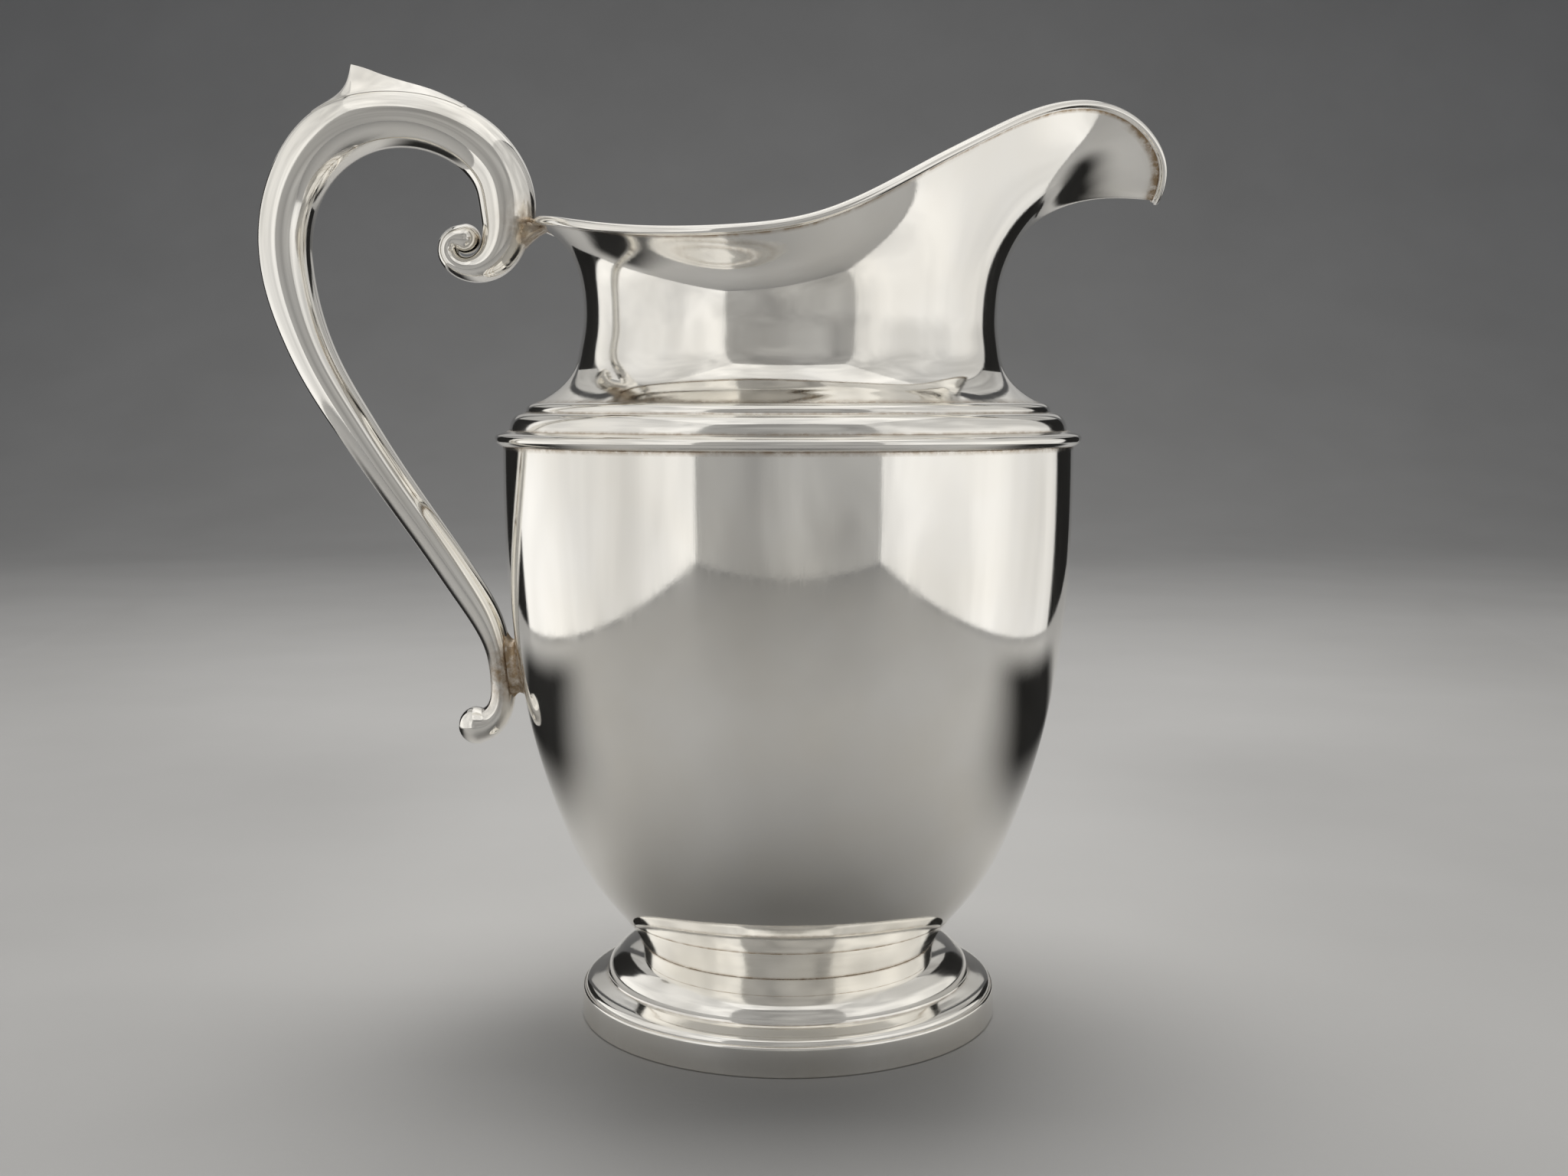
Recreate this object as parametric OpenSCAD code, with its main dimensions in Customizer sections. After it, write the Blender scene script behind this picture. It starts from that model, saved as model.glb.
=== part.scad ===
// Silver water pitcher: a bellied body on a spun foot, a stepped shoulder, a tall flared
// neck that runs out into a deep pouring lip, and a hollow scroll handle with a thumb spur.
// Millimetres. Z is up, the foot stands on z = 0 and the body turns about the Z axis.
// The lip points along +X and the handle stands out along -X.

/* [Body] */
// Diameter of the body just under the shoulder ring
body_d = 136; // [122:1:150]
// Height of the body's upper edge, where the ring sits
body_top = 138.6; // [126:0.1:150]
// Thickness of the spun sheet
wall = 1.2; // [0.8:0.1:1.6]

/* [Foot] */
// Diameter of the upright band the pitcher stands on
foot_d = 101.4; // [90:0.2:112]
// Height of that band
band_h = 7; // [5:0.1:9]
// Height of the domed foot, where the collar stands on it
foot_h = 17.8; // [15:0.1:21]
// Diameter of the narrowest place, between the foot and the collar
waist_d = 72; // [64:0.5:80]
// Height of the collar's upper lip, where it meets the body
collar_top = 25.1; // [22:0.1:28]
// Diameter of the collar's upper lip
collar_d = 81.6; // [74:0.2:90]

/* [Shoulder and neck] */
// Diameter of the ring round the shoulder
ring_d = 139.8; // [128:0.2:154]
// Height of the joint between the stepped shoulder and the neck
neck_foot = 148.8; // [144:0.1:154]
// Diameter at that joint
neck_foot_d = 120.2; // [112:0.2:128]
// Diameter of the neck where it is narrowest
neck_d = 98.4; // [88:0.2:106]
// Height of that narrowest place
neck_mid = 170; // [164:0.5:176]
// How far the narrow place leans towards the lip
neck_lean = 0.6; // [0:0.1:1.5]

/* [Mouth] */
// Height of the bead round the mouth, measured up the wall
bead_h = 1.9; // [1.2:0.1:2.8]
// How far the bead stands out of the wall
bead_out = 1; // [0.5:0.1:1.6]

/* [Handle] */
// Thickness of the metal of the handle's two halves
handle_wall = 1; // [0.8:0.1:1.4]
// Height of the thumb spur's point, the highest place of the pitcher
spur_top = 228.3; // [224:0.1:234]
// Distance of the spur's point behind the axis
spur_back = 103.3; // [98:0.1:108]

/* [Hidden] */

silver = [0.86, 0.85, 0.81];
$fn = 120;

// the handle's line, from the ball in the upper scroll round to the ball in the lower one:
// x, z, half its depth in the plane of the line, half its width across
grip = [
    [-76.9, 187.6, 3.6, 5.2], [-79.9, 187.2, 2.8, 4.9], [-81.0, 184.4, 2.5, 4.8],
    [-79.1, 181.5, 2.6, 5.0], [-75.2, 180.5, 3.2, 5.3], [-70.4, 182.6, 4.4, 5.8],
    [-67.5, 187.6, 5.5, 6.3], [-66.7, 194.5, 6.6, 6.9], [-68.2, 201.8, 6.6, 7.1],
    [-73.2, 208.6, 6.6, 7.3], [-82.6, 214.0, 6.6, 7.4], [-94.0, 215.6, 6.7, 7.4],
    [-106.9, 212.1, 7.4, 7.6], [-116.9, 200.2, 6.7, 7.2], [-119.9, 187.6, 6.3, 7.0],
    [-119.0, 176.6, 6.0, 6.7], [-116.2, 166.4, 5.5, 6.4], [-111.8, 156.0, 5.1, 6.1],
    [-105.5, 145.2, 4.8, 5.8], [-95.9, 130.4, 4.4, 5.5], [-85.4, 115.2, 4.2, 5.2],
    [-77.8, 103.8, 4.1, 5.0], [-73.2, 96.0, 3.7, 4.8], [-70.8, 89.3, 3.1, 4.6],
    [-69.9, 83.0, 2.9, 4.5], [-69.7, 78.0, 3.0, 4.5], [-70.9, 73.4, 3.3, 4.7],
    [-73.6, 70.8, 4.0, 5.0], [-76.0, 70.2, 4.6, 5.2]];

// the mouth, from the tip of the lip round one side to the back: x, y, z of the wall's edge,
// the angle of the neck below it, and x, y, z of the guide that the wall bends towards
// on its way up to the edge
mouth = [
    [86.4, 0, 196.7, 0, 56, 0, 200.4], [86.9, 5.6, 201.4, 5, 58.8, 4.8, 200.9],
    [84, 10.6, 208, 10, 62.5, 8.8, 201.4], [78.2, 14.8, 212.5, 15.5, 65, 12, 201.4],
    [70.2, 18.6, 214.8, 22, 63.8, 15.4, 200.4], [60.8, 23.8, 213.8, 30, 57.8, 20.7, 197.9],
    [51.2, 31, 210, 38, 48.7, 27.7, 194.5], [41.2, 39, 204.6, 47, 38.6, 35.5, 191.3],
    [30.2, 46.6, 198.4, 58, 27.9, 42.5, 187.4], [17.8, 52.4, 191.4, 71, 16.2, 47.8, 182.7],
    [4, 55.6, 185.9, 86, 3.5, 51.2, 179.3], [-11.4, 55.6, 183.9, 101, -10.5, 51.1, 178],
    [-26.6, 49.8, 184.1, 117, -24.1, 45.3, 178.6], [-40.2, 39.6, 185.8, 134, -36, 35.3, 180.4],
    [-51.2, 25.8, 188.4, 152, -45.3, 22.4, 183.3], [-57.7, 9.6, 190.2, 170, -50.4, 8.3, 185.2]];

// ---- curves ----
// a smooth curve through four neighbours, at t between the middle two
function through(a, b, c, d, t) =
    0.5 * (2 * b + (c - a) * t + (2 * a - 5 * b + 4 * c - d) * t * t
        + (3 * b - a - 3 * c + d) * t * t * t);

// the curve through all the points of a list, n steps to each span
function smooth(p, n) = let (e = len(p) - 1) concat(
    [for (i = [0 : e - 1], k = [0 : n - 1])
        through(i > 0 ? p[i - 1] : 2 * p[0] - p[1], p[i], p[i + 1],
            i < e - 1 ? p[i + 2] : 2 * p[e] - p[e - 1], k / n)],
    [p[e]]);

// a quarter of an ellipse about c, from (c.x + a, c.y) up to (c.x, c.y + b)
function quarter(c, a, b, n) = [for (i = [0 : n]) c + [a * cos(90 * i / n), b * sin(90 * i / n)]];

function unit(v) = v / norm(v);

// a line of (radius, height) points moved sideways by w, to its left
function beside(p, w) = [for (i = [0 : len(p) - 1])
    let (t = unit(p[min(i + 1, len(p) - 1)] - p[max(i - 1, 0)])) p[i] + w * [-t[1], t[0]]];

function reversed(p) = [for (i = [len(p) - 1 : -1 : 0]) p[i]];

// ---- foot ----
// the upright band: a ring that stands on the table, a little wider at its lower edge
module foot_band() {
    r = foot_d / 2;
    color(silver) rotate_extrude() polygon([
        [r - 2.2, 0], [r - 0.2, 0], [r, 0.3], [r - 0.1, band_h - 0.7],
        [r - 0.35, band_h - 0.2], [r - 0.8, band_h], [r - 2.4, band_h]]);
}

// the spun foot: a low rounded moulding over the band, a notch, then the dome
foot_line = let (o = foot_d / 2 - 0.8, b = band_h, w = waist_d / 2, h = foot_h) concat(
    smooth([[o, b], [o - 0.2, b + 0.8], [o - 1.1, b + 1.5], [o - 2.8, b + 2.1],
        [o - 4.4, b + 2.6], [o - 5.4, b + 2.9]], 2),
    smooth([[w + 8.3, h - 7.6], [w + 8.1, h - 6.3], [w + 7.5, h - 4.9], [w + 6.3, h - 3.6],
        [w + 4.9, h - 2.4], [w + 2.7, h - 1.1], [w, h]], 2));

module foot_dome() {
    inner = beside(foot_line, wall);
    n = len(foot_line) - 1;
    color(silver) rotate_extrude() polygon(concat(foot_line,
        [[waist_d / 2 - wall, foot_h - wall / 2]],
        reversed([for (i = [1 : n - 1]) if (inner[i][1] > band_h + 0.3) inner[i]]),
        [[foot_d / 2 - 2.4, band_h]]));
}

// how far in from the collar's lip the body's floor begins, and how far below the lip the
// collar's inner face ends
seat_edge = 1.7;
seat_depth = 2.4;

// the collar: a short, slightly hollow cone that opens upwards to hold the body
collar_hollow = 0.2;
collar_line = let (w = waist_d / 2, c = collar_d / 2, h = collar_top - foot_h)
    [for (t = [0 : 0.1 : 1])
        [w + (c - w) * t - 4 * collar_hollow * t * (1 - t), foot_h + h * t]];

module foot_collar() {
    inner = beside(collar_line, wall);
    color(silver) rotate_extrude() polygon(concat(collar_line,
        [body_floor(collar_d / 2 - seat_edge), body_floor(waist_d / 2 + 1)],
        reversed([for (q = inner) if (q[1] > foot_h + 0.5 && q[1] < collar_top - seat_depth) q]),
        [[waist_d / 2 - wall, foot_h - wall / 2]]));
}

// ---- body ----
body_r = body_d / 2;
// the belly, from its upper edge down to the collar
belly = smooth([[body_r, body_top], [body_r, body_top - 10], [body_r - 0.65, body_top - 30],
    [body_r - 2.6, body_top - 50], [body_r - 6.5, body_top - 70], [body_r - 12.9, body_top - 90],
    [body_r - 20.4, body_top - 105], [collar_d / 2, collar_top]], 5);

belly_radii = [for (q = belly) [q[1], q[0]]];

// the underside inside the collar, almost flat: the place at radius r
function body_floor(r) = [r, collar_top - 0.2 * (collar_d / 2 - r)];

module vase_body() {
    inner = beside(belly, -wall);
    low = [body_floor(collar_d / 2 - seat_edge), body_floor(waist_d / 2),
        [15, collar_top - 2], [0, collar_top - 2.2]];
    color(silver) rotate_extrude() polygon(concat(belly, low,
        [for (i = [3 : -1 : 1]) low[i] + [0, wall]],
        reversed([for (i = [1 : len(inner) - 2]) inner[i]]),
        [[body_r - wall, body_top]]));
}

// ---- shoulder ----
ring_h = 3.7;
ring_top = body_top + ring_h;

// the applied ring, which hides the joint between the body and the shoulder
module shoulder_ring() {
    r = ring_d / 2;
    color(silver) rotate_extrude() polygon([
        [body_r - wall - 1.6, body_top], [body_r, body_top], [r - 0.7, body_top + 0.6],
        [r - 0.15, body_top + 1.2], [r, body_top + 1.8], [r - 0.15, body_top + 2.3],
        [r - 0.7, body_top + 2.8], [r - 2.2, body_top + 3.3], [r - 3.4, ring_top],
        [body_r - wall - 1.6, ring_top]]);
}

// two steps: a broad round one, a small fillet, then a flatter one that runs into the neck
shoulder_line = let (r = ring_d / 2 - 3.5, n = neck_foot_d / 2) concat(
    quarter([r - 3.3, ring_top], 3.3, 4.1, 7),
    [[r - 3.7, ring_top + 4.2]],
    quarter([n, ring_top + 4.5], 2.4, neck_foot - ring_top - 4.5, 5));

module stepped_shoulder() {
    inner = beside(shoulder_line, wall);
    n = len(shoulder_line) - 1;
    r = ring_d / 2 - 3.5;
    color(silver) rotate_extrude() polygon(concat(shoulder_line,
        [[neck_foot_d / 2 - wall, neck_foot]],
        reversed([for (i = [1 : n - 1]) inner[i]]),
        [[r - wall, ring_top]]));
}

// ---- neck and lip ----
// steps round the mouth, and rows up the flared part of the neck
around = 96;
high_rows = 12;

// the round part: radius and height of each row, from the shoulder up to the narrowest place
neck_low = let (a = neck_foot_d / 2, b = neck_d / 2, h = neck_mid - neck_foot)
    smooth([[a, 0], [a - 5.1, 3.2], [a - 9, 8.3], [b + 0.7, 13.4], [b + 0.05, h - 3], [b, h]], 2);
low_rows = len(neck_low) - 1;
// how much of the flare's height the wall would climb straight up before it bends outwards
climb = 0.46;

function mirror_y(q) = [q[0], -q[1], q[2], -q[3], q[4], -q[5], q[6]];

// the far side of the mouth list, seen from the back: its angles go on past 180
function past_back(q) = [q[0], -q[1], q[2], 360 - q[3], q[4], -q[5], q[6]];

// half the mouth, from the tip to the back, as a smooth curve through the list
spans = len(mouth) - 1;
function mouth_at(i) = i < 0 ? mirror_y(mouth[1])
    : i <= spans ? mouth[i] : past_back(mouth[2 * spans + 1 - i]);
half_mouth = concat(
    [for (i = [0 : spans - 1], k = [0 : 5])
        through(mouth_at(i - 1), mouth_at(i), mouth_at(i + 1), mouth_at(i + 2), k / 6)],
    [for (k = [0 : 3])
        through(mouth_at(spans - 1), mouth_at(spans), mouth_at(spans + 1), mouth_at(spans + 2), k / 6)]);

// a row of the curve at any place along it, 0 at the tip and 1 at the back
function mouth_row(f) = let (g = f * (len(half_mouth) - 1), i = min(floor(g), len(half_mouth) - 2))
    half_mouth[i] + (half_mouth[i + 1] - half_mouth[i]) * (g - i);

// the whole mouth: a row for each step round it
rows = [for (k = [0 : around - 1]) let (f = 2 * k / around)
    f <= 1 ? mouth_row(f) : mirror_y(mouth_row(2 - f))];

function row(k) = rows[(k + around) % around];
function edge(k) = [row(k)[0], row(k)[1], row(k)[2]];

function guide(k) = [row(k)[4], row(k)[5], row(k)[6]];

// the way the wall runs where it reaches the edge
function rise(k) = unit(edge(k) - guide(k));

function bend(a, b, c, d, t) = let (s = 1 - t)
    s * s * s * a + 3 * s * s * t * b + 3 * s * t * t * c + t * t * t * d;

// a point of the outer surface: row j up the wall, step k round it
function skin(k, j) = let (a = row(k)[3])
    j <= low_rows
    ? let (q = neck_low[j]) [q[0] * cos(a) + neck_lean * j / low_rows, q[0] * sin(a), neck_foot + q[1]]
    : let (t = (j - low_rows) / high_rows, m = edge(k),
           p = [neck_d / 2 * cos(a) + neck_lean, neck_d / 2 * sin(a), neck_mid],
           up = (m[2] - neck_mid) * climb)
      bend(p, p + [0, 0, up], guide(k), m, t);

top_row = low_rows + high_rows;
outer = [for (j = [0 : top_row]) [for (k = [0 : around - 1]) skin(k, j)]];

function at(j, k) = outer[min(max(j, 0), top_row)][(k + around) % around];
function facing(j, k) = unit(cross(at(j, k + 1) - at(j, k - 1),
    at(min(j + 1, top_row), k) - at(max(j - 1, 0), k)));

// the inner surface lies one wall behind the outer one, and ends level at the shoulder
function lining(j, k) = j == 0
    ? let (p = at(0, k)) [p[0] * (1 - 2 * wall / neck_foot_d), p[1] * (1 - 2 * wall / neck_foot_d), p[2]]
    : at(j, k) - wall * facing(j, k);

// two triangles for each cell between ring a and ring b, both n points round
function belt(a, b, n) = [for (k = [0 : n - 1]) let (m = (k + 1) % n)
    each [[a + k, a + m, b + m], [a + k, b + m, b + k]]];

module neck_and_spout() {
    n = around;
    points = concat([for (j = [0 : top_row], k = [0 : n - 1]) at(j, k)],
        [for (j = [0 : top_row], k = [0 : n - 1]) lining(j, k)]);
    in = (top_row + 1) * n;
    faces = concat(
        [for (j = [0 : top_row - 1]) each belt((j + 1) * n, j * n, n)],
        [for (j = [0 : top_row - 1]) each belt(in + j * n, in + (j + 1) * n, n)],
        belt(in + top_row * n, top_row * n, n),
        belt(0, in, n));
    color(silver) polyhedron(points, faces);
}

// the bead's outline: out of the wall, then up it. Its first side lies on the wall's edge
bead_line = let (o = bead_out, h = bead_h) [[-wall, 0], [0, 0], [0.5 * o, 0.02 * h],
    [0.55 * o, 0.24 * h], [0.92 * o, 0.4 * h], [o, 0.66 * h], [0.65 * o, 0.92 * h],
    [-0.1 * o, h], [-0.85 * o, 0.9 * h], [-1.25 * o, 0.62 * h], [-wall - 0.1, 0.25 * h]];

// a point of the bead: point q of its outline at step k
function on_bead(q, k) = at(top_row, k) + q[0] * facing(top_row, k) + q[1] * rise(k);

module rim_bead() {
    n = around;
    m = len(bead_line);
    points = [for (q = bead_line, k = [0 : n - 1]) on_bead(q, k)];
    color(silver) polyhedron(points, [for (i = [0 : m - 1]) each belt(((i + 1) % m) * n, i * n, n)]);
}

// ---- handle ----
// steps round half of the handle's section, stations to each span of its line, and the steps
// of each rounded end, in degrees
turns = 10;
line = smooth(grip, 3);
ball_step = 24;

// stations of the handle: x, z, depth, width, and the way it runs; the balls close it
last = len(line) - 1;
function way(i) = let (d = line[min(i + 1, last)] - line[max(i - 1, 0)]) unit([d[0], d[1]]);
function ball(q, t, s) = let (w = s * ball_step)
    [q[0] + t[0] * q[2] * sin(w), q[1] + t[1] * q[2] * sin(w), q[2] * cos(w), q[3] * cos(w)];
function run(cut) = let (less = [for (q = line) [q[0], q[1], q[2] - cut, q[3] - cut]]) concat(
    [for (s = [3 : -1 : 1]) concat(ball(less[0], -way(0), s), way(0))],
    [for (i = [0 : last]) concat(less[i], way(i))],
    [for (s = [1 : 3]) concat(ball(less[last], way(last), s), way(last))]);
shell = run(0);
core = run(handle_wall);

// a point of the handle's section, at angle a from the outer side of its line; side is -1 or 1
function grip_at(q, a, side) =
    [q[0] + q[5] * q[2] * cos(a), side * q[3] * sin(a), q[1] - q[4] * q[2] * cos(a)];

// half of the hollow handle: its outer and inner faces and the seam between the halves
module handle_half(side) {
    n = len(shell);
    m = turns + 1;
    points = concat(
        [for (q = shell, j = [0 : turns]) grip_at(q, 180 * j / turns, side)],
        [for (q = core, j = [0 : turns]) grip_at(q, 180 * j / turns, side)]);
    in = n * m;
    function cell(a, b, c, d) = [[a, b, c], [a, c, d]];
    skins = [for (i = [0 : n - 2], j = [0 : turns - 1]) each concat(
        cell(i * m + j, i * m + j + 1, (i + 1) * m + j + 1, (i + 1) * m + j),
        cell(in + i * m + j, in + (i + 1) * m + j, in + (i + 1) * m + j + 1, in + i * m + j + 1))];
    seams = [for (i = [0 : n - 2]) each concat(
        cell(i * m, (i + 1) * m, in + (i + 1) * m, in + i * m),
        cell(i * m + turns, in + i * m + turns, in + (i + 1) * m + turns, (i + 1) * m + turns))];
    z = (n - 1) * m;
    ends = concat(
        [reversed([for (j = [0 : turns]) j]), [for (j = [0 : turns]) in + j],
         [for (j = [0 : turns]) z + j], reversed([for (j = [0 : turns]) in + z + j])],
        cell(0, in, in + turns, turns),
        cell(z, z + turns, in + z + turns, in + z));
    faces = concat(skins, seams, ends);
    polyhedron(points, side > 0 ? [for (f = faces) reversed(f)] : faces);
}

module handle_half_near() {
    color(silver) handle_half(-1);
}

module handle_half_far() {
    color(silver) handle_half(1);
}

// ---- what joins the handle to the vessel, and the spur ----
// a solid between two grids of points, each of n rows of m points
module between(near, far, n, m) {
    b = n * m;
    faces = concat(
        [for (i = [0 : n - 2], j = [0 : m - 2]) each let (p = i * m + j) [
            [p, p + m, p + m + 1], [p, p + m + 1, p + 1],
            [b + p, b + p + 1, b + p + m + 1], [b + p, b + p + m + 1, b + p + m]]],
        [for (p = [0 : m - 2]) each let (q = (n - 1) * m + p) [
            [p, p + 1, b + p + 1], [p, b + p + 1, b + p],
            [q, b + q, b + q + 1], [q, b + q + 1, q + 1]]],
        [for (i = [0 : n - 2]) each let (p = i * m, q = i * m + m - 1) [
            [p, b + p, b + p + m], [p, b + p + m, p + m],
            [q, q + m, b + q + m], [q, b + q + m, b + q]]]);
    polyhedron(concat(near, far), faces);
}

// the handle's surface at a station, which may lie between two, j steps round from the outer
// side of its line, or from the inner side; the far half has j above 0
function grip_side(i, j, inner = false) = let (f = floor(i), g = i - f, s = j < 0 ? -1 : 1,
        a = inner ? 180 - 180 * abs(j) / turns : 180 * abs(j) / turns)
    (1 - g) * grip_at(shell[f], a, s) + g * grip_at(shell[min(f + 1, len(shell) - 1)], a, s);

// thickness of the thumb spur's feathered edges, and how many steps round the handle
// each of its own steps is
spur_edge = 0.15;
spur_spread = 0.55;

// the spur's ridge, from behind its point to the front: station of the handle, then how
// far the ridge stands forward of the handle's surface there, and above it
spur_tip = 37.6;
spur_ridge = let (b = grip_side(spur_tip, 0)) [
    [39.3, 0, 0.1], [38.8, 0.5, 0.6], [38.3, 0.9, 1.7], [38, 0.7, 3.2],
    [spur_tip, -spur_back - b[0], spur_top - b[2] - spur_edge],
    [37, 0, 5.1], [36.5, 0, 3.9], [36, 0, 3], [35.3, 0, 2.1], [34.6, 0, 1.5], [33.8, 0, 1],
    [33, 0, 0.5], [32, 0, 0.1]];

// the spur: a pointed ridge with hollow sides along the top of the handle
module thumb_spur() {
    w = 3;
    near = [for (q = spur_ridge, j = [-w : w]) grip_side(q[0], j * spur_spread)];
    far = [for (q = spur_ridge, j = [-w : w]) let (e = pow(1 - abs(j) / w, 1.6))
        grip_side(q[0], j * spur_spread) + [q[1] * e, 0, spur_edge + q[2] * e]];
    color(silver) between(near, far, len(spur_ridge), 2 * w + 1);
}

// the stations of the handle between which it is soldered to the back of the mouth
stem_low = 21.3;
stem_high = 23;

// the solder that fills the corner between the handle's stem and the back of the mouth
module upper_handle_mount() {
    w = 3;
    rows_up = 4;
    wide = 0.8;
    function mid(a, b, g) = a + (b - a) * g;
    near = [for (i = [0 : rows_up], j = [-w : w])
        grip_side(stem_low + (stem_high - stem_low) * i / rows_up, j * wide)];
    far = [for (i = [0 : rows_up], j = [-w : w])
        let (k = around / 2 - wide * j / w, f = floor(k), g = k - f)
        i == 0 ? mid(at(top_row - 1, f), at(top_row - 1, f + 1), g)
        : mid(on_bead(bead_line[i], f), on_bead(bead_line[i], f + 1), g)];
    color(silver) between(far, near, rows_up + 1, 2 * w + 1);
}

// the lower pad: its first station on the handle, the height of its upper edge, and the
// drop in millimetres and the turn in degrees of each step
pad_station = 70;
pad_top = body_top - 46;
pad_drop = 2;
pad_turn = 1.6;

// the pad between the handle's lower end and the belly, which follows the belly's own curve
module lower_handle_mount() {
    w = 3;
    down = 8;
    near = [for (i = [0 : down], j = [-w : w]) grip_side(pad_station + i, j, true)];
    far = [for (i = [0 : down], j = [-w : w])
        let (z = pad_top - pad_drop * i, r = lookup(z, belly_radii) / cos(pad_turn / 2))
        [-r * cos(pad_turn * j), r * sin(pad_turn * j), z]];
    color(silver) between(near, far, down + 1, 2 * w + 1);
}

foot_band();
foot_dome();
foot_collar();
vase_body();
shoulder_ring();
stepped_shoulder();
neck_and_spout();
rim_bead();
handle_half_near();
handle_half_far();
thumb_spur();
upper_handle_mount();
lower_handle_mount();
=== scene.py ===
"""A silver water pitcher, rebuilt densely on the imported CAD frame, with polished-silver materials."""
import math

import bpy
import numpy as np
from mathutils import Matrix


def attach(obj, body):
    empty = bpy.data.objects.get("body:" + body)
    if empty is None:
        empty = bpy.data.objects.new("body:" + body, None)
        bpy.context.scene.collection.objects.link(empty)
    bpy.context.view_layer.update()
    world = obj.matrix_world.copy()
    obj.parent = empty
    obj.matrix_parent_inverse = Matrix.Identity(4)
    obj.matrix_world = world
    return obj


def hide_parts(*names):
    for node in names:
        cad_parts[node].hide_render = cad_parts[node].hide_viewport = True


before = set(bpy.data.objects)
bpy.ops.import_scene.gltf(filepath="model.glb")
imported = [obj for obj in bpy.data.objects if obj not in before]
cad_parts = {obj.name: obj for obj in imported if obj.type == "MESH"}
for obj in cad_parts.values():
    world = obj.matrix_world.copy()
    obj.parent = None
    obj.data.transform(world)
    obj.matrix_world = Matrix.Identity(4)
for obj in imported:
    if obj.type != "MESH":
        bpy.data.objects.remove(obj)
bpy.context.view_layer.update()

MM = 0.001

# ---- driving sizes, in millimetres, as in the part ----
BODY_R = 68.0
BODY_TOP = 138.6
WALL = 1.2
FOOT_R = 50.7
BAND_H = 7.0
FOOT_H = 17.8
WAIST_R = 36.0
COLLAR_TOP = 25.1
COLLAR_HOLLOW = 0.2
COLLAR_R = 40.8
RING_R = 69.9
RING_TOP = BODY_TOP + 3.7
NECK_FOOT = 148.8
NECK_FOOT_R = 60.1
NECK_R = 49.2
NECK_MID = 170.0
NECK_LEAN = 0.6
BEAD_H = 1.9
BEAD_OUT = 1.0
HANDLE_WALL = 1.0
SEAT_EDGE = 1.7
SEAT_DEPTH = 2.4
BRIDGE_LAYERS = 14
NECK_LOW = 21.2
NECK_CLIMB = 0.46
SPUR_SPREAD = 29.7
SPUR_TOP = 228.3
SPUR_BACK = 103.3
SPUR_TIP_X = -102.9
SPUR_EDGE = 0.15
# the spur's ridge, behind and in front of its tip: the x it stands on, how far forward, how far up
RIDGE_BEHIND = [(-112.5, 0, 0.1), (-109.8, 0.5, 0.6), (-106.9, 0.9, 1.7), (-105.2, 0.7, 3.2)]
RIDGE_FRONT = [(-99.5, 0, 5.1), (-96.9, 0, 3.9), (-94.4, 0, 3), (-91, 0, 2.1), (-87.6, 0, 1.5),
               (-83.9, 0, 1), (-80.4, 0, 0.5), (-76.2, 0, 0.1)]

# the handle's line: x, z, half its depth in the plane of the line, half its width across
GRIP = [
    (-76.9, 187.6, 3.6, 5.2), (-79.9, 187.2, 2.8, 4.9), (-81.0, 184.4, 2.5, 4.8),
    (-79.1, 181.5, 2.6, 5.0), (-75.2, 180.5, 3.2, 5.3), (-70.4, 182.6, 4.4, 5.8),
    (-67.5, 187.6, 5.5, 6.3), (-66.7, 194.5, 6.6, 6.9), (-68.2, 201.8, 6.6, 7.1),
    (-73.2, 208.6, 6.6, 7.3), (-82.6, 214.0, 6.6, 7.4), (-94.0, 215.6, 6.7, 7.4),
    (-106.9, 212.1, 7.4, 7.6), (-116.9, 200.2, 6.7, 7.2), (-119.9, 187.6, 6.3, 7.0),
    (-119.0, 176.6, 6.0, 6.7), (-116.2, 166.4, 5.5, 6.4), (-111.8, 156.0, 5.1, 6.1),
    (-105.5, 145.2, 4.8, 5.8), (-95.9, 130.4, 4.4, 5.5), (-85.4, 115.2, 4.2, 5.2),
    (-77.8, 103.8, 4.1, 5.0), (-73.2, 96.0, 3.7, 4.8), (-70.8, 89.3, 3.1, 4.6),
    (-69.9, 83.0, 2.9, 4.5), (-69.7, 78.0, 3.0, 4.5), (-70.9, 73.4, 3.3, 4.7),
    (-73.6, 70.8, 4.0, 5.0), (-76.0, 70.2, 4.6, 5.2)]

# the mouth from the tip of the lip round one side to the back: the edge's x, y, z, the angle of the
# neck below it, and the x, y, z of the guide that the wall bends towards on its way up to the edge
MOUTH = [
    (86.4, 0, 196.7, 0, 56, 0, 200.4), (86.9, 5.6, 201.4, 5, 58.8, 4.8, 200.9),
    (84, 10.6, 208, 10, 62.5, 8.8, 201.4), (78.2, 14.8, 212.5, 15.5, 65, 12, 201.4),
    (70.2, 18.6, 214.8, 22, 63.8, 15.4, 200.4), (60.8, 23.8, 213.8, 30, 57.8, 20.7, 197.9),
    (51.2, 31, 210, 38, 48.7, 27.7, 194.5), (41.2, 39, 204.6, 47, 38.6, 35.5, 191.3),
    (30.2, 46.6, 198.4, 58, 27.9, 42.5, 187.4), (17.8, 52.4, 191.4, 71, 16.2, 47.8, 182.7),
    (4, 55.6, 185.9, 86, 3.5, 51.2, 179.3), (-11.4, 55.6, 183.9, 101, -10.5, 51.1, 178),
    (-26.6, 49.8, 184.1, 117, -24.1, 45.3, 178.6), (-40.2, 39.6, 185.8, 134, -36, 35.3, 180.4),
    (-51.2, 25.8, 188.4, 152, -45.3, 22.4, 183.3), (-57.7, 9.6, 190.2, 170, -50.4, 8.3, 185.2)]


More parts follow.
